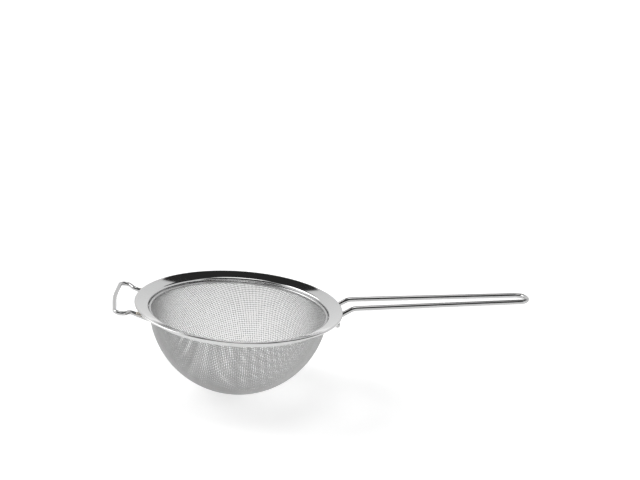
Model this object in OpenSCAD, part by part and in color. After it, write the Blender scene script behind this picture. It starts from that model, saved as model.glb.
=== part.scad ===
// Tea strainer: a woven wire bowl held in a wide dished rim, with a double wire handle and a wire rest.
// +Z is up, out of the bowl's mouth. The origin is on the bowl's axis, level with the top of the rim's edge.
// The handle runs along +X. Millimetres.

/* [Rim] */
// Outer diameter of the rim
rim_od = 84; // [84:0.5:88]
// Thickness of the rim's sheet steel; its hem is twice as thick
sheet_t = 0.45; // [0.4:0.05:0.45]
// Angle at which the rim rises from its inner edge to its outer edge, in degrees
rim_rise = 16.6; // [15.2:0.2:17.2]

/* [Bowl] */
// Outer diameter of the woven bowl
bowl_od = 72.2; // [71.6:0.1:72.2]
// Thickness of the woven cloth: two wires, one crossing the other
cloth_t = 0.5; // [0.4:0.05:0.5]
// Depth of the bowl's centre below the rim's edge
bowl_drop = 0.3; // [0.1:0.1:0.3]

/* [Handle] */
// Diameter of the handle's wire
handle_wire_d = 2; // [1.6:0.1:2]
// Distance from the bowl's axis to the middle of the wire at the handle's far end
handle_reach = 121.4; // [100:0.1:180]
// Half of the gap between the legs at the far end, centre to centre
handle_tip_half = 3.9; // [3:0.1:4.5]
// Height of the far end above the rim's edge
handle_tip_z = 4; // [2:0.1:12]

/* [Rest] */
// Diameter of the rest's wire
rest_wire_d = 1.7; // [1.4:0.1:1.7]
// Direction of the rest about the bowl's axis, in degrees; the handle is at 0
rest_angle = 172.6; // [170:0.2:190]
// How far the corners of the rest's end bar stand out past the rim
rest_out = 6.2; // [6.2:0.1:10]

/* [Hidden] */

round_fn = 96;
wire_fn = 48;
arc_steps = 12;              // flats round the bend of the sheet
hem_steps = 27;              // flats round its hem
collar_t = 0.01;
collar_w = 0.1;
clearance = 0.04;            // between the rim's neck, the binding ring and the cloth
steel = [0.78, 0.79, 0.80];
cloth_grey = [0.66, 0.67, 0.69];
weld_grey = [0.60, 0.60, 0.61];

// Bowl: a part of a sphere, with its edge in the binding ring's slot
bowl_r = bowl_od / 2;
cloth_top_z = -2.95;
function sphere_r(r, z) = sqrt(r * r - (z + bowl_drop) * (z + bowl_drop));

// Binding ring: a strip folded over the cloth's edge like an upside-down U
strip_t = 0.3;
cloth_cover = 0.05;          // from the start of the strip's arch up to the cloth's edge
arch_z = cloth_top_z - cloth_cover;
inner_leg = 0.6;
outer_leg = 0.85;
slot_outer_r = sphere_r(bowl_r, cloth_top_z) + clearance / 2;
slot_inner_r = sphere_r(bowl_r - cloth_t, arch_z - inner_leg) - clearance / 2;
slot_w = slot_outer_r - slot_inner_r;
arch_r = (slot_outer_r + slot_inner_r) / 2;

// Rim: the middle line of its sheet, from the hem inwards and down the neck, as [radius, height]
hem_r = sheet_t;
hem = [rim_od / 2 - hem_r, -hem_r];
lip = hem + (hem_r - sheet_t / 2) * [-sin(rim_rise), cos(rim_rise)];
neck_r = slot_outer_r + strip_t + clearance + sheet_t / 2;
neck_cover = 0.1;            // how far the neck reaches below the binding ring
neck_bottom_z = arch_z - outer_leg - neck_cover;
fold = [neck_r, lip[1] - (lip[0] - neck_r) * tan(rim_rise)];
fold_bend_r = 0.75;
rim_line = [lip, fold, [neck_r, neck_bottom_z]];

// Handle: its wire from one foot under the rim, out along one leg and back along the other, as [x, y, z]
rim_r = rim_od / 2;
foot_end = [rim_r - 4.8, 17.6, -2.22];
foot_corner = [rim_r - 1.7, 5.55, -2.7];
leg_bend = [rim_r + 4.2, 5.35, 0.6];
tip_corner = [handle_reach, handle_tip_half, handle_tip_z];
foot_bend_r = 2.6;
leg_bend_r = 6;
tip_flat_half = 0.2;          // half of the short straight stretch in the middle of the U
tip_turn = 90 - atan((leg_bend[1] - handle_tip_half) / (handle_reach - leg_bend[0]));
tip_bend_r = (handle_tip_half - tip_flat_half) / tan(tip_turn / 2);

handle_half = [foot_end, foot_corner, leg_bend, tip_corner];
handle_bends = [0, foot_bend_r, leg_bend_r, tip_bend_r];

// Rest: its wire from under the rim, out to a wide loop and back, in the rest's own direction, as [x, y, z]
rest_reach = rim_r + rest_out;
rest_bow = 1.8;              // how far the middle of its end bar stands out past its corners
rest_half = [
    [rim_r - 7, 14.4, -3.3],
    [rim_r + 1, 13.8, -0.6],
    [rest_reach, 23.4, 0.15],
    [rest_reach + rest_bow, 0, 0.15]
];
rest_bends = [0, 2.4, 2.5, 60];

// Weld beads: places along a leg or a foot, as shares of its length
handle_bead_r = 1.05;
handle_beads = [0.35, 0.65];
rest_bead_r = 1.2;
rest_beads = [0.22, 0.52];
bead_lift = 0.85;            // how far a bead's middle stands above the wire's, in wire radii

function flip(p) = [p[0], -p[1], p[2]];
function reversed(v) = [for (i = [len(v) - 1:-1:0]) v[i]];
function unit(v) = v / norm(v);

// A frame whose third axis is the direction w and whose first is the direction u, at the point p
function frame_at(p, u, w) =
    let (v = cross(w, u))
    [[u[0], v[0], w[0], p[0]], [u[1], v[1], w[1], p[1]], [u[2], v[2], w[2], p[2]], [0, 0, 0, 1]];

function any_normal(w) = unit(cross(abs(w[2]) < 0.9 ? [0, 0, 1] : [1, 0, 0], w));

function turn_at(p, i) = acos(max(-1, min(1, unit(p[i] - p[i - 1]) * unit(p[i + 1] - p[i]))));
function trim_at(p, r, i) = (i == 0 || i == len(p) - 1) ? 0 : r[i] * tan(turn_at(p, i) / 2);

// A round wire along the points p, with a bend of radius r[i] at each inner point. A hair-thin collar
// covers each place where a straight stretch meets a bend, so that the wire is one solid.
module wire(p, r, d) {
    for (i = [0:len(p) - 2]) {
        way = unit(p[i + 1] - p[i]);
        start = p[i] + way * trim_at(p, r, i);
        stop = p[i + 1] - way * trim_at(p, r, i + 1);
        multmatrix(frame_at(start, any_normal(way), way))
            cylinder(d = d, h = norm(stop - start), $fn = wire_fn);
        if (i > 0)
            collar(start, way, d);
        if (i < len(p) - 2)
            collar(stop, way, d);
    }
    for (i = [1:len(p) - 2]) {
        before = unit(p[i] - p[i - 1]);
        after = unit(p[i + 1] - p[i]);
        turn = turn_at(p, i);
        middle = p[i] + unit(after - before) * r[i] / cos(turn / 2);
        out = unit(p[i] - before * trim_at(p, r, i) - middle);
        multmatrix(frame_at(middle, out, unit(cross(before, after))))
            rotate_extrude(angle = turn, $fn = 4 * wire_fn)
                translate([r[i], 0])
                    circle(d = d, $fn = wire_fn);
    }
}

module collar(at, way, d) {
    multmatrix(frame_at(at, any_normal(way), way))
        cylinder(d = d + 2 * collar_t, h = collar_w, center = true, $fn = wire_fn);
}

function arc_points(p, r, i, side) =
    let (
        before = unit(p[i] - p[i - 1]),
        after = unit(p[i + 1] - p[i]),
        turn = turn_at(p, i),
        left = before[0] * after[1] - before[1] * after[0] > 0 ? 1 : -1,
        middle = p[i] + unit(after - before) * r / cos(turn / 2),
        from = atan2(-left * before[0], left * before[1])
    )
    [for (k = [0:arc_steps])
        let (angle = from + left * turn * k / arc_steps)
        middle + (r - left * side) * [cos(angle), sin(angle)]];

// The points of one face of the rim's sheet, moved sideways from its middle line by side
function face_points(side) =
    let (last = len(rim_line) - 1)
    concat(
        [for (i = [1:last - 1]) each arc_points(rim_line, fold_bend_r, i, side)],
        [rim_line[last] + side * across(rim_line[last] - rim_line[last - 1])]
    );

function across(v) = [-unit(v)[1], unit(v)[0]];

// The hem's round outline, from the top of the sheet round to its underside
function hem_points() =
    [for (k = [0:hem_steps])
        let (angle = 90 + rim_rise - 270 * k / hem_steps)
        hem + hem_r * [cos(angle), sin(angle)]];

module rim_flange() {
    color(steel)
        rotate_extrude($fn = 2 * round_fn)
            polygon(concat(hem_points(), face_points(sheet_t / 2), reversed(face_points(-sheet_t / 2))));
}

module binding_ring() {
    color(steel)
        rotate_extrude($fn = 2 * round_fn) {
            translate([arch_r, arch_z])
                intersection() {
                    difference() {
                        circle(r = slot_w / 2 + strip_t, $fn = round_fn);
                        circle(r = slot_w / 2, $fn = round_fn);
                    }
                    translate([-slot_w - strip_t, 0])
                        square([2 * (slot_w + strip_t), slot_w + strip_t]);
                }
            translate([arch_r - slot_w / 2 - strip_t, arch_z - inner_leg])
                square([strip_t, inner_leg]);
            translate([arch_r + slot_w / 2, arch_z - outer_leg])
                square([strip_t, outer_leg]);
        }
}

module mesh_bowl() {
    color(cloth_grey)
        difference() {
            translate([0, 0, -bowl_drop])
                difference() {
                    sphere(r = bowl_r, $fn = 2 * round_fn);
                    sphere(r = bowl_r - cloth_t, $fn = 2 * round_fn);
                }
            translate([-bowl_od, -bowl_od, cloth_top_z])
                cube([2 * bowl_od, 2 * bowl_od, bowl_od]);
        }
}

module handle_wire() {
    points = concat(handle_half, [for (p = reversed(handle_half)) flip(p)]);
    bends = concat(handle_bends, reversed(handle_bends));
    color(steel)
        wire(points, bends, handle_wire_d);
}

module rest_wire() {
    inner = [for (i = [0:2]) rest_half[i]];
    points = concat(rest_half, [for (p = reversed(inner)) flip(p)]);
    bends = [for (i = [0:6]) rest_bends[min(i, 6 - i)]];
    color(steel)
        rotate([0, 0, rest_angle])
            wire(points, bends, rest_wire_d);
}

// Weld beads on both sides, between the stretch from a to b and the rim above it
module beads(a, b, shares, r, lift) {
    for (s = [-1, 1])
        for (k = shares)
            let (p = a + k * (b - a))
                translate([p[0], s * p[1], p[2] + lift])
                    sphere(r = r, $fn = wire_fn);
}

module handle_welds() {
    color(weld_grey)
        difference() {
            beads(foot_corner, foot_end, handle_beads, handle_bead_r, bead_lift * handle_wire_d / 2);
            rim_flange();
            handle_wire();
            above_rim();
        }
}

module rest_welds() {
    color(weld_grey)
        difference() {
            rotate([0, 0, rest_angle])
                beads(rest_half[0], rest_half[1], rest_beads, rest_bead_r, bead_lift * rest_wire_d / 2);
            rim_flange();
            rest_wire();
            above_rim();
        }
}

// Everything above the middle of the rim's sheet, so that no bead comes through it
module above_rim() {
    outside = rim_od / 2 + handle_bead_r;
    top = 2 * handle_bead_r;
    rotate_extrude($fn = 2 * round_fn)
        polygon([[0, fold[1]], fold, lip, [outside, lip[1]], [outside, top], [0, top]]);
}

mesh_bowl();
binding_ring();
rim_flange();
handle_wire();
handle_welds();
rest_wire();
rest_welds();
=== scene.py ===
"""A tea strainer: a woven steel bowl in a dished rim, with a double wire handle and a wire rest. Metres."""

import math

import bpy
import bmesh
import numpy as np
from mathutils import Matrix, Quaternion, Vector


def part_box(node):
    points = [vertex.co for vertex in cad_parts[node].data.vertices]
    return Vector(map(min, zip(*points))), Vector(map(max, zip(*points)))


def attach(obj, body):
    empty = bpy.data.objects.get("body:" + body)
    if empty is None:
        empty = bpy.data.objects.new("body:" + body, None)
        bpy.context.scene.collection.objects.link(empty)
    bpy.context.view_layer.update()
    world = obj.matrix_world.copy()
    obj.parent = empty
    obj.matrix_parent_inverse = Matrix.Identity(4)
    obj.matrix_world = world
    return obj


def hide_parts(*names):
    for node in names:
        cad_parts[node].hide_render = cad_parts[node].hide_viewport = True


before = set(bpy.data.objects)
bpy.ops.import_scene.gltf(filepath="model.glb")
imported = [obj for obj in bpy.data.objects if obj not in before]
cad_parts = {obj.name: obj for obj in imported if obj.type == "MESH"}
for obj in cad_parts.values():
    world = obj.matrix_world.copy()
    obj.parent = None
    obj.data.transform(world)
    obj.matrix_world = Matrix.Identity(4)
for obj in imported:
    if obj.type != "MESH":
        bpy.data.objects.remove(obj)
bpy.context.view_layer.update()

MM = 0.001
UP = np.array((0.0, 0.0, 1.0))

# Camera, from the side of the rest, a little above the rim
LOOK_AT = Vector((0.0316, 0.0029, 0.0269))
VIEW_AZIMUTH = math.radians(-12.42)
VIEW_ELEVATION = math.radians(17.2)
VIEW_ROLL = math.radians(4.89)
VIEW_DISTANCE = 0.5745
LENS = 80
SENSOR = 36

# Cloth: two sets of crossed wires on a sphere, with their ends in the binding ring's slot
CLOTH_T = 0.5 * MM
CLOTH_WIRE_R = CLOTH_T / 4
BOWL_R = 36.1 * MM
SPHERE_R = BOWL_R - CLOTH_T / 2
SPHERE_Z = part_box("mesh_bowl")[0].z + BOWL_R
CLOTH_TOP_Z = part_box("mesh_bowl")[1].z
WIRES_PER_SIDE = 66                 # wires from the bottom of the bowl to its edge
CLOTH_TURN = math.radians(-12.4)
DRAW = 0.6                          # how much closer the wires lie at the edge; 0 is evenly spaced
RINGS_PER_CROSSING = 3
CLOTH_SIDES = 5
WIRES_PER_PIECE = 44

# Binding ring: a strip folded over the cloth's edge
STRIP = 0.3 * MM
SLOT_W = 0.62 * MM
ARCH_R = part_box("binding_ring")[1].x - STRIP - SLOT_W / 2
ARCH_Z = CLOTH_TOP_Z - 0.05 * MM
INNER_LEG_Z = ARCH_Z - 0.6 * MM
OUTER_LEG_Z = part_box("binding_ring")[0].z

# Rim: a hem as thick as two sheets, a dish that falls inwards, and a neck round the binding ring
SHEET = 0.45 * MM
HEM_R = SHEET
RIM_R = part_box("rim_flange")[1].x
NECK_FOOT_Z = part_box("rim_flange")[0].z
NECK_R = ARCH_R + SLOT_W / 2 + STRIP + 0.04 * MM + SHEET / 2
DISH_RISE = math.radians(16.6)
DISH_SAG = 0.08 * MM                # how far the middle of the dish lies below a straight line
HEM_GAP = 0.06                      # radians left open where the hem meets the underside
HEM_CLEAR = 2.2                     # hem radii from the edge at which the underside starts
FOLD_BEND = 0.75 * MM

# Handle and rest: their wires' corners, as (x, y, z), and the radius of the bend at each
HANDLE_R = 1.0 * MM
HANDLE_HALF = [(37.2, 17.6, -2.22), (40.3, 5.55, -2.7), (46.2, 5.35, 0.6), (121.4, 3.9, 4.0)]
HANDLE_BENDS = [0, 2.6, 6, 3.7]
REST_R = 0.85 * MM
REST_TURN = math.radians(172.6)
REST_HALF = [(35, 14.4, -3.3), (43, 13.8, -0.6), (48.2, 23.4, 0.15), (50, 0, 0.15)]
REST_BENDS = [0, 2.4, 2.5, 60]

# Weld beads: places along a foot or a leg, as shares of its length
HANDLE_BEADS = (0.35, 0.65)
REST_BEADS = (0.22, 0.52)
HANDLE_BEAD_R = 1.05 * MM
REST_BEAD_R = 1.2 * MM
BEAD_LIFT = 0.85                    # of the wire's radius, above its middle
BEAD_RIPPLE = 0.05
BEAD_STRETCH = 0.35                 # along the wire
BEAD_FLATNESS = 0.62

# Floor, and the brightness of each part of the room
FLOOR_HALF = 6.0
FLOOR_TONE = 0.9
FLOOR_GLOW = 0.48
HORIZON_LIGHT = 0.95
CEILING_LIGHT = 0.7
HIGH_FRONT_LIGHT = 0.12
LOW_FRONT_LIGHT = 0.01
HIGH_BACK_LIGHT = 0.03
LEFT_LAMP = 3.4
TOP_LAMP = 2.4
SKIRTING_LIGHT = 1.1

ROUND_SIDES = 288
WIRE_SIDES = 28
BEND_STEP = math.radians(5)


# ---------------------------------------------------------------- lines and meshes

def unit(v):
    return v / np.linalg.norm(v)


def rounded(corners, radii):
    """The points of a line through the corners, with an arc of the given radius at each inner one."""
    corners = [np.array(c, float) for c in corners]
    points = [corners[0]]
    for before, at, after, radius in zip(corners, corners[1:], corners[2:], radii[1:]):
        way_in, way_out = unit(at - before), unit(after - at)
        turn = math.acos(np.clip(way_in @ way_out, -1, 1))
        start = at - way_in * radius * math.tan(turn / 2)
        middle = at + unit(way_out - way_in) * radius / math.cos(turn / 2)
        out = unit(start - middle)
        steps = max(2, math.ceil(turn / BEND_STEP))
        for k in range(steps + 1):
            angle = turn * k / steps
            points.append(middle + radius * (math.cos(angle) * out + math.sin(angle) * way_in))
    points.append(corners[-1])
    return np.array(points)


def mesh_piece(name, vertices, faces, uv=None):
    """A smooth-shaded piece of the object, its normals all outwards."""
    mesh = bpy.data.meshes.new(name)
    mesh.from_pydata(np.asarray(vertices).tolist(), [], faces)
    if uv is not None:
        layer = mesh.uv_layers.new(name="along_and_around")
        corner_vertex = np.zeros(len(mesh.loops), int)
        mesh.loops.foreach_get("vertex_index", corner_vertex)
        layer.data.foreach_set("uv", np.asarray(uv, np.float32)[corner_vertex].ravel())
    shape = bmesh.new()
    shape.from_mesh(mesh)
    bmesh.ops.recalc_face_normals(shape, faces=shape.faces)
    shape.to_mesh(mesh)
    shape.free()
    mesh.shade_smooth()
    piece = bpy.data.objects.new(name, mesh)
    bpy.context.scene.collection.objects.link(piece)
    return piece


def ring_faces(rings, sides, first=0, loop=False):
    """Quads between neighbouring rings of vertices, with a cap at each end unless the rings make a loop."""
    faces = []
    for i in range(rings if loop else rings - 1):
        here, there = first + i * sides, first + (i + 1) % rings * sides
        for j in range(sides):
            k = (j + 1) % sides
            faces.append((here + j, here + k, there + k, there + j))
    if not loop:
        faces.append(tuple(range(first, first + sides)))
        faces.append(tuple(range(first + (rings - 1) * sides, first + rings * sides)))
    return faces


def lathe(name, outline):
    """A closed (radius, height) outline turned about the bowl's axis."""
    angle = np.arange(ROUND_SIDES) * 2 * math.pi / ROUND_SIDES
    r, z = np.asarray(outline).T
    vertices = np.stack([
        np.outer(np.cos(angle), r),
        np.outer(np.sin(angle), r),
        np.tile(z, (ROUND_SIDES, 1)),
    ], axis=-1).reshape(-1, 3)
    return mesh_piece(name, vertices, ring_faces(ROUND_SIDES, len(r), loop=True))


def sides_of(line, thickness):
    """The two faces of a bent strip of sheet, from the middle line of its section, and the ways it runs."""
    way = np.gradient(line, axis=0)
    way /= np.linalg.norm(way, axis=1)[:, None]
    side = np.stack([-way[:, 1], way[:, 0]], axis=-1) * thickness / 2
    return line + side, line - side, way


def half_round(start, stop, way, steps=8):
    """The points between start and stop on a half circle that bulges the given way."""
    middle, arm = (start + stop) / 2, (start - stop) / 2
    reach = np.linalg.norm(arm)
    turns = np.linspace(0, math.pi, steps + 1)[1:-1]
    return [middle + arm * math.cos(t) + way * reach * math.sin(t) for t in turns]


def strip_outline(line, thickness):
    """The outline of a bent strip of sheet with two round edges."""
    left, right, way = sides_of(np.asarray(line), thickness)
    return np.concatenate([
        left,
        half_round(left[-1], right[-1], way[-1]),
        right[::-1],
        half_round(right[0], left[0], -way[0]),
    ])


def frames_along(line):
    """The direction at each point of a line, and two directions square to it that barely turn."""
    way = np.gradient(line, axis=0)
    way /= np.linalg.norm(way, axis=1)[:, None]
    first = [unit(np.cross(way[0], UP))]
    for w in way[1:]:
        first.append(unit(first[-1] - w * (first[-1] @ w)))
    first = np.array(first)
    return way, first, np.cross(way, first)


def wire_rings(line, radius, sides, chamfer):
    """Rings of vertices along a wire whose ends are a little rounded, and each vertex's (length, angle)."""
    ends = [(0, 0.55), (0.25, 0.8), (0.6, 0.95)]
    lead_in = [line[0] + unit(line[1] - line[0]) * chamfer * t for t, _ in ends]
    lead_out = [line[-1] + unit(line[-2] - line[-1]) * chamfer * t for t, _ in ends][::-1]
    points = np.concatenate([lead_in, line[1:-1], lead_out])
    widths = np.ones(len(points))
    widths[:3] = [w for _, w in ends]
    widths[-3:] = [w for _, w in ends][::-1]
    _, a, b = frames_along(points)
    turns = np.arange(sides) * 2 * math.pi / sides
    spokes = a[:, None] * np.cos(turns)[None, :, None] + b[:, None] * np.sin(turns)[None, :, None]
    rings = points[:, None] + spokes * (radius * widths)[:, None, None]
    length = np.concatenate([[0], np.cumsum(np.linalg.norm(np.diff(points, axis=0), axis=1))])
    around = np.tile(turns / (2 * math.pi), (len(points), 1))
    uv = np.stack([np.tile(length[:, None], (1, sides)), around], axis=-1)
    return rings, uv


def with_straights_split(line, longest):
    """The same line with points added, so that no stretch is longer than the given length."""
    points = [line[0]]
    for a, b in zip(line, line[1:]):
        pieces = max(1, math.ceil(np.linalg.norm(b - a) / longest))
        points += [a + (b - a) * k / pieces for k in range(1, pieces + 1)]
    return np.array(points)


def bent_wire(name, corners, radii, radius, turn=0.0):
    """A wire through corners given in millimetres, turned about the bowl's axis."""
    line = with_straights_split(rounded(corners, radii), 2.0) * MM
    c, s = math.cos(turn), math.sin(turn)
    line = line @ np.array(((c, s, 0), (-s, c, 0), (0, 0, 1)))
    rings, uv = wire_rings(line, radius, WIRE_SIDES, radius * 0.5)
    faces = ring_faces(len(rings), WIRE_SIDES)
    return mesh_piece(name, rings.reshape(-1, 3), faces, uv.reshape(-1, 2))


def mirrored(half, skip_last):
    """The corners or bends of one side, and then the other side's in reverse."""
    back = list(reversed(half[:-1] if skip_last else half))
    if not isinstance(half[0], tuple):
        return list(half) + back
    return list(half) + [(x, -y, z) for x, y, z in back]


# ---------------------------------------------------------------- woven cloth

def on_bowl(u, v, height):
    """A point of the flat cloth, in pitches from its middle, laid on the bowl's sphere and raised from it."""
    flat = np.hypot(u, v)
    edge_angle = math.pi / 2
    polar = edge_angle * np.sin(DRAW * flat / WIRES_PER_SIDE) / math.sin(DRAW)
    around = np.arctan2(v, u) + CLOTH_TURN
    r = SPHERE_R + height
    return np.stack([
        r * np.sin(polar) * np.cos(around),
        r * np.sin(polar) * np.sin(around),
        SPHERE_Z - r * np.cos(polar),
    ], axis=-1)


def cloth_wire(place, across, start_sign):
    """The line of one wire, place pitches from the middle, over and under the wires that it crosses."""
    reach = WIRES_PER_SIDE * 1.05
    steps = np.arange(-reach * RINGS_PER_CROSSING, reach * RINGS_PER_CROSSING) / RINGS_PER_CROSSING
    swing = CLOTH_WIRE_R / math.sin(math.pi / RINGS_PER_CROSSING)
    height = start_sign * swing * np.sin(math.pi * steps)
    fixed = np.full(len(steps), place)
    line = on_bowl(fixed, steps, height) if across else on_bowl(steps, fixed, height)
    inside = line[:, 2] < CLOTH_TOP_Z
    inside &= np.abs(steps) < reach - 1
    return line[inside]


def cloth_piece(name, across, wires):
    """Neighbouring wires of one of the two sets, as a single piece."""
    rng = np.random.default_rng([int(across), WIRES_PER_SIDE + wires[0]])
    turns = np.arange(CLOTH_SIDES) * 2 * math.pi / CLOTH_SIDES
    vertices, faces, tones = [], [], []
    first = 0
    for i in wires:
        sign = (-1) ** i * (1 if across else -1)
        line = cloth_wire(i + 0.5, across, sign)
        if len(line) < 2 * RINGS_PER_CROSSING:
            continue
        way = np.gradient(line, axis=0)
        way /= np.linalg.norm(way, axis=1)[:, None]
        out = line - np.array((0, 0, SPHERE_Z))
        out -= way * np.sum(out * way, axis=1)[:, None]
        out /= np.linalg.norm(out, axis=1)[:, None]
        side = np.cross(way, out)
        spokes = out[:, None] * np.cos(turns)[None, :, None] + side[:, None] * np.sin(turns)[None, :, None]
        vertices.append((line[:, None] + spokes * CLOTH_WIRE_R).reshape(-1, 3))
        faces += ring_faces(len(line), CLOTH_SIDES, first)
        tones.append(np.full(len(line) * CLOTH_SIDES, rng.random()))
        first += len(line) * CLOTH_SIDES
    piece = mesh_piece(name, np.concatenate(vertices), faces)
    tone = piece.data.attributes.new("wire_tone", "FLOAT", "POINT")
    tone.data.foreach_set("value", np.concatenate(tones).astype(np.float32))
    return piece


# ---------------------------------------------------------------- welds

def beads(name, foot, shares, radius, wire_r, turn, seed):
    """Small pools of weld metal between a wire and the sheet above it."""
    rng = np.random.default_rng(seed)
    near, far = np.array(foot[0]) * MM, np.array(foot[1]) * MM
    along = unit(far - near)
    shape = bmesh.new()
    for side in (1, -1):
        for share in shares:
            middle = near + (far - near) * share + UP * BEAD_LIFT * wire_r
            flip = np.array((1, side, 1))
            made = bmesh.ops.create_icosphere(shape, subdivisions=4, radius=1)
            lobes = rng.normal(size=(5, 3))
            for vertex in made["verts"]:
                d = np.array(vertex.co)
                ripple = 1 + BEAD_RIPPLE * sum(math.sin(3 * (d @ lobe)) for lobe in lobes) / len(lobes)
                local = d * ripple * radius
                local += along * (local @ along) * BEAD_STRETCH
                vertex.co = (middle + local * np.array((1, 1, BEAD_FLATNESS))) * flip
    bmesh.ops.recalc_face_normals(shape, faces=shape.faces)
    mesh = bpy.data.meshes.new(name)
    shape.to_mesh(mesh)
    shape.free()
    mesh.shade_smooth()
    piece = bpy.data.objects.new(name, mesh)
    mesh.transform(Quaternion((0, 0, 1), turn).to_matrix().to_4x4())
    bpy.context.scene.collection.objects.link(piece)
    return piece


# ---------------------------------------------------------------- materials

class Tree:
    """Adds nodes to a node tree; an input takes a number, a colour or another node's output."""

    def __init__(self, tree):
        self.nodes = tree.nodes
        self.links = tree.links

    def feed(self, socket, value):
        if isinstance(value, bpy.types.NodeSocket):
            self.links.new(value, socket)
        else:
            socket.default_value = value

    def put(self, kind, inputs, output=0, **settings):
        made = self.nodes.new(kind)
        for key, value in settings.items():
            setattr(made, key, value)
        for key, value in inputs.items():
            self.feed(made.inputs[key], value)
        return made.outputs[output]

    def math(self, operation, a, b=0.0):
        return self.put("ShaderNodeMath", {0: a, 1: b}, operation=operation)

    def fade(self, value, start, stop, at_start=0.0, at_stop=1.0):
        """A smooth step of value from at_start to at_stop."""
        inputs = {"Value": value, "From Min": start, "From Max": stop, "To Min": at_start, "To Max": at_stop}
        return self.put("ShaderNodeMapRange", inputs, interpolation_type="SMOOTHSTEP")

    def mix(self, factor, a, b):
        """Between two numbers."""
        return self.put("ShaderNodeMix", {"Factor": factor, "A": a, "B": b}, data_type="FLOAT")

    def noise(self, vector, scale, detail=3.0):
        return self.put("ShaderNodeTexNoise", {"Vector": vector, "Scale": scale, "Detail": detail})

    def stretched(self, vector, by):
        return self.put("ShaderNodeVectorMath", {0: vector, 1: by}, operation="MULTIPLY")

    def ramp(self, factor, stops):
        """A colour for each place along factor."""
        made = self.nodes.new("ShaderNodeValToRGB")
        self.feed(made.inputs[0], factor)
        elements = made.color_ramp.elements
        while len(elements) < len(stops):
            elements.new(0.5)
        for element, (place, colour) in zip(elements, stops):
            element.position = place
            element.color = (*colour, 1)
        return made.outputs[0]


def steel(name):
    """A bare metal material: its node tree and its shader."""
    material = bpy.data.materials.new(name)
    material.use_nodes = True
    shader = material.node_tree.nodes["Principled BSDF"]
    shader.inputs["Metallic"].default_value = 1
    return material, Tree(material.node_tree), shader


def bump(tree, height, depth, strength=1.0):
    return tree.put("ShaderNodeBump", {"Height": height, "Distance": depth, "Strength": strength})


def grey(level, warmth=0.0):
    return (level * (1 + warmth), level, level * (1 - warmth))


def turned_steel(name, tone, gloss, worn_at, line_depth):
    """Sheet steel polished on a lathe: faint rings about the bowl's axis, smudges, and a worn outer edge."""
    material, tree, shader = steel(name)
    place = tree.put("ShaderNodeTexCoord", {}, output=3)
    flat = tree.stretched(place, (1, 1, 0))
    radius = tree.put("ShaderNodeVectorMath", {0: flat}, output=1, operation="LENGTH")
    across = {"W": radius, "Scale": 5200.0, "Detail": 3.0}
    ring = tree.put("ShaderNodeTexNoise", across, noise_dimensions="1D")
    smudge = tree.noise(place, 90.0, 4.0)
    patch = tree.noise(place, 35.0)
    worn = tree.fade(radius, worn_at - 0.5 * MM, worn_at)
    rough = tree.fade(smudge, 0.35, 0.75, gloss, gloss * 1.7)
    rough = tree.math("ADD", rough, tree.math("MULTIPLY", worn, 0.05))
    rough = tree.math("ADD", rough, tree.math("MULTIPLY", ring, 0.02))
    tree.feed(shader.inputs["Roughness"], rough)
    colour = tree.ramp(patch, [(0.3, grey(tone * 0.97, 0.004)), (0.7, grey(tone * 1.03, -0.004))])
    tree.feed(shader.inputs["Base Color"], colour)
    tree.feed(shader.inputs["Normal"], bump(tree, ring, line_depth, 0.6))
    return material


def drawn_steel(name, tone, gloss):
    """Polished wire: fine lines along it from the drawing die, and handling marks."""
    material, tree, shader = steel(name)
    along = tree.put("ShaderNodeTexCoord", {}, output=2)
    place = tree.put("ShaderNodeTexCoord", {}, output=3)
    lines = tree.noise(tree.stretched(along, (60, 40, 1)), 1.0, 2.0)
    smudge = tree.noise(place, 160.0, 4.0)
    rough = tree.fade(smudge, 0.35, 0.75, gloss, gloss * 1.8)
    rough = tree.math("ADD", rough, tree.math("MULTIPLY", lines, 0.03))
    tree.feed(shader.inputs["Roughness"], rough)
    colour = tree.ramp(lines, [(0.3, grey(tone * 0.97)), (0.7, grey(tone * 1.02))])
    tree.feed(shader.inputs["Base Color"], colour)
    tree.feed(shader.inputs["Normal"], bump(tree, lines, 0.004 * MM, 0.5))
    return material


def woven_steel(name, tone, gloss):
    """Thin wire: each wire a little lighter or darker, with a dull film here and there."""
    material, tree, shader = steel(name)
    place = tree.put("ShaderNodeTexCoord", {}, output=3)
    wire_tone = tree.put("ShaderNodeAttribute", {}, output=2, attribute_name="wire_tone")
    film = tree.noise(place, 110.0, 4.0)
    grain = tree.noise(place, 6000.0, 2.0)
    shade = tree.math("ADD", tree.math("MULTIPLY", wire_tone, 0.5), tree.math("MULTIPLY", film, 0.5))
    colour = tree.ramp(shade, [(0.2, grey(tone * 0.9, 0.004)), (0.8, grey(tone * 1.08, -0.004))])
    tree.feed(shader.inputs["Base Color"], colour)
    tree.feed(shader.inputs["Roughness"], tree.fade(film, 0.3, 0.75, gloss, gloss * 1.5))
    tree.feed(shader.inputs["Normal"], bump(tree, grain, 0.003 * MM, 0.5))
    return material


def weld_steel(name):
    """Weld metal: dull, rippled, with a straw and blue tint from the heat."""
    material, tree, shader = steel(name)
    place = tree.put("ShaderNodeTexCoord", {}, output=3)
    tint = tree.noise(place, 700.0, 3.0)
    ripple = tree.noise(place, 2500.0, 4.0)
    colour = tree.ramp(tint, [
        (0.3, (0.42, 0.41, 0.42)),
        (0.5, (0.46, 0.41, 0.33)),
        (0.65, (0.36, 0.38, 0.44)),
        (0.8, (0.5, 0.5, 0.5)),
    ])
    tree.feed(shader.inputs["Base Color"], colour)
    tree.feed(shader.inputs["Roughness"], tree.fade(ripple, 0.3, 0.7, 0.3, 0.5))
    tree.feed(shader.inputs["Normal"], bump(tree, ripple, 0.03 * MM, 0.7))
    return material


# ---------------------------------------------------------------- the object

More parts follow.
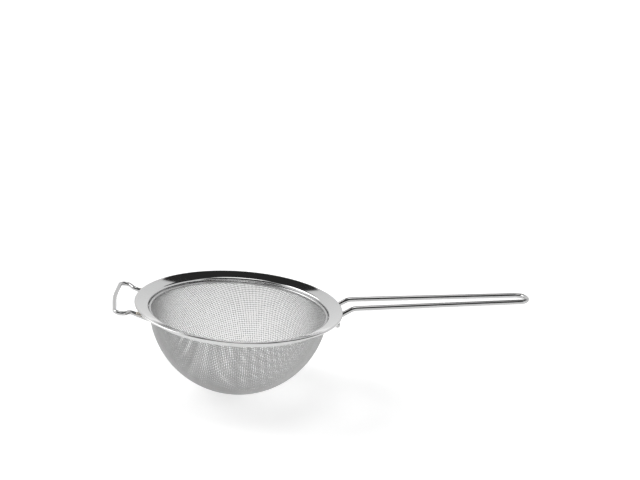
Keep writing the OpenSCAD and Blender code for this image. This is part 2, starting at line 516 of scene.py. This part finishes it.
def finished(piece, node, material):
    """A piece that stands for a CAD node and is ready to show."""
    piece.data.materials.append(material)
    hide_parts(node)
    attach(piece, "root")
    return piece


def rim():
    fall = np.array((-math.cos(DISH_RISE), -math.sin(DISH_RISE)))
    across = np.array((math.sin(DISH_RISE), -math.cos(DISH_RISE)))
    hem = np.array((RIM_R - HEM_R, -HEM_R))
    lip = hem - across * (HEM_R - SHEET / 2)
    fold = lip + fall * (lip[0] - NECK_R) / math.cos(DISH_RISE)
    width = np.linalg.norm(fold - lip)
    middle = (lip + fold) / 2 + across * DISH_SAG
    corners = [lip, middle, fold, (NECK_R, NECK_FOOT_Z + SHEET / 2)]
    dish_bend = (width / 2 - FOLD_BEND) / math.tan(2 * DISH_SAG / width)
    line = rounded([(r, 0, z) for r, z in corners], [0, dish_bend, FOLD_BEND])[:, [0, 2]]
    under, top, way = sides_of(line, SHEET)
    turns = np.linspace(0.5 * math.pi + DISH_RISE, DISH_RISE - math.pi + HEM_GAP, 40)
    round_hem = [hem + HEM_R * np.array((math.cos(t), math.sin(t))) for t in turns]
    outline = np.concatenate([
        round_hem,
        under[under[:, 0] < RIM_R - HEM_CLEAR * HEM_R],
        half_round(under[-1], top[-1], way[-1]),
        top[:0:-1],
    ])
    piece = lathe("rim_dish", outline)
    material = turned_steel("rim_polish", 0.62, 0.045, RIM_R, 0.0012 * MM)
    return finished(piece, "rim_flange", material)


def binding_ring():
    half = (SLOT_W + STRIP) / 2
    turns = np.linspace(math.pi, 0, 25)
    arch = [(ARCH_R + half * math.cos(t), ARCH_Z + half * math.sin(t)) for t in turns]
    feet = [(ARCH_R - half, INNER_LEG_Z + STRIP / 2), (ARCH_R + half, OUTER_LEG_Z + STRIP / 2)]
    piece = lathe("binding_strip", strip_outline([feet[0], *arch, feet[1]], STRIP))
    material = turned_steel("ring_polish", 0.5, 0.18, RIM_R, 0.002 * MM)
    return finished(piece, "binding_ring", material)


def cloth():
    material = woven_steel("cloth_wire", 0.57, 0.36)
    for kind, across in (("warp", False), ("weft", True)):
        for first in range(-WIRES_PER_SIDE, WIRES_PER_SIDE, WIRES_PER_PIECE):
            number = (first + WIRES_PER_SIDE) // WIRES_PER_PIECE + 1
            wires = range(first, first + WIRES_PER_PIECE)
            piece = cloth_piece(f"bowl_{kind}_wires_{number}", across, wires)
            finished(piece, "mesh_bowl", material)


def handle_and_rest():
    material = drawn_steel("wire_polish", 0.5, 0.05)
    handle = bent_wire(
        "handle_bent_wire",
        mirrored(HANDLE_HALF, False),
        mirrored(HANDLE_BENDS, False),
        HANDLE_R,
    )
    finished(handle, "handle_wire", material)
    rest = bent_wire(
        "rest_bent_wire",
        mirrored(REST_HALF, True),
        mirrored(REST_BENDS, True),
        REST_R,
        REST_TURN,
    )
    finished(rest, "rest_wire", material)


def welds():
    material = weld_steel("weld_metal")
    foot = HANDLE_HALF[1::-1]
    piece = beads("handle_weld_beads", foot, HANDLE_BEADS, HANDLE_BEAD_R, HANDLE_R, 0, 11)
    finished(piece, "handle_welds", material)
    piece = beads("rest_weld_beads", REST_HALF[:2], REST_BEADS, REST_BEAD_R, REST_R, REST_TURN, 12)
    finished(piece, "rest_welds", material)


# ---------------------------------------------------------------- stage

def camera():
    data = bpy.data.cameras.new("camera")
    data.lens = LENS
    data.sensor_width = SENSOR
    data.clip_start = 0.01
    back = Vector((
        math.sin(VIEW_AZIMUTH) * math.cos(VIEW_ELEVATION),
        -math.cos(VIEW_AZIMUTH) * math.cos(VIEW_ELEVATION),
        math.sin(VIEW_ELEVATION),
    ))
    made = bpy.data.objects.new("camera", data)
    made.location = LOOK_AT + back * VIEW_DISTANCE
    made.rotation_mode = "QUATERNION"
    made.rotation_quaternion = (-back).to_track_quat("-Z", "Y") @ Quaternion((0, 0, 1), VIEW_ROLL)
    bpy.context.scene.collection.objects.link(made)
    bpy.context.scene.camera = made


def floor():
    """A pale floor, lit from below like a light table, that the bowl stands on."""
    half = FLOOR_HALF
    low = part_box("mesh_bowl")[0].z
    mesh = bpy.data.meshes.new("floor")
    mesh.from_pydata([(x, y, low) for x, y in ((-half, -half), (half, -half), (half, half), (-half, half))],
                     [], [(0, 1, 2, 3)])
    material = bpy.data.materials.new("pale_floor")
    material.use_nodes = True
    shader = material.node_tree.nodes["Principled BSDF"]
    shader.inputs["Base Color"].default_value = (*grey(FLOOR_TONE), 1)
    shader.inputs["Roughness"].default_value = 0.9
    shader.inputs["Specular IOR Level"].default_value = 0.1
    shader.inputs["Emission Color"].default_value = (1, 1, 1, 1)
    shader.inputs["Emission Strength"].default_value = FLOOR_GLOW
    mesh.materials.append(material)
    made = bpy.data.objects.new("floor", mesh)
    bpy.context.scene.collection.objects.link(made)


def studio():
    """Soft light from all round, with lamps overhead and on the left, and darker parts of the room.

    Angles are in degrees: elevation above the horizon, and azimuth from the point behind the object.
    """
    world = bpy.data.worlds.new("studio")
    bpy.context.scene.world = world
    world.use_nodes = True
    tree = Tree(world.node_tree)
    direction = tree.put("ShaderNodeTexCoord", {}, output=0)
    turned = tree.put(
        "ShaderNodeVectorRotate", {"Vector": direction, "Angle": -VIEW_AZIMUTH}, rotation_type="Z_AXIS"
    )
    parts = tree.nodes.new("ShaderNodeSeparateXYZ")
    tree.feed(parts.inputs[0], turned)
    x, y, z = parts.outputs
    elevation = tree.math("MULTIPLY", tree.math("ARCSINE", z), 180 / math.pi)
    azimuth = tree.math("MULTIPLY", tree.math("ARCTAN2", x, y), 180 / math.pi)
    from_back = tree.math("ABSOLUTE", azimuth)

    def between(value, low, high, soft):
        rise = tree.fade(value, low - soft / 2, low + soft / 2)
        fall = tree.fade(value, high - soft / 2, high + soft / 2, 1.0, 0.0)
        return tree.math("MULTIPLY", rise, fall)

    light = tree.fade(elevation, 0.0, 90.0, HORIZON_LIGHT, CEILING_LIGHT)
    in_front = tree.fade(from_back, 121, 131)
    high_front = tree.math("MULTIPLY", between(elevation, 42, 72, 6), in_front)
    light = tree.mix(high_front, light, HIGH_FRONT_LIGHT)
    low_front = tree.math("MULTIPLY", between(elevation, 3, 45, 4), in_front)
    light = tree.mix(low_front, light, LOW_FRONT_LIGHT)
    behind = tree.fade(from_back, 100, 110, 1.0, 0.0)
    high_back = tree.math("MULTIPLY", between(elevation, 38.5, 72, 1.2), behind)
    light = tree.mix(high_back, light, HIGH_BACK_LIGHT)
    left_lamp = tree.math("MULTIPLY", between(elevation, 20, 60, 3), between(azimuth, -100, -55, 3))
    light = tree.mix(left_lamp, light, LEFT_LAMP)
    top_lamp = tree.fade(elevation, 72, 78)
    light = tree.mix(top_lamp, light, TOP_LAMP)
    skirting = tree.fade(elevation, 3, 5, 1.0, 0.0)
    light = tree.mix(skirting, light, SKIRTING_LIGHT)
    background = world.node_tree.nodes["Background"]
    tree.feed(background.inputs["Strength"], light)
    background.inputs["Color"].default_value = (1, 1, 1, 1)
    bpy.context.scene.view_settings.view_transform = "Standard"


camera()
floor()
studio()
rim()
binding_ring()
cloth()
handle_and_rest()
welds()
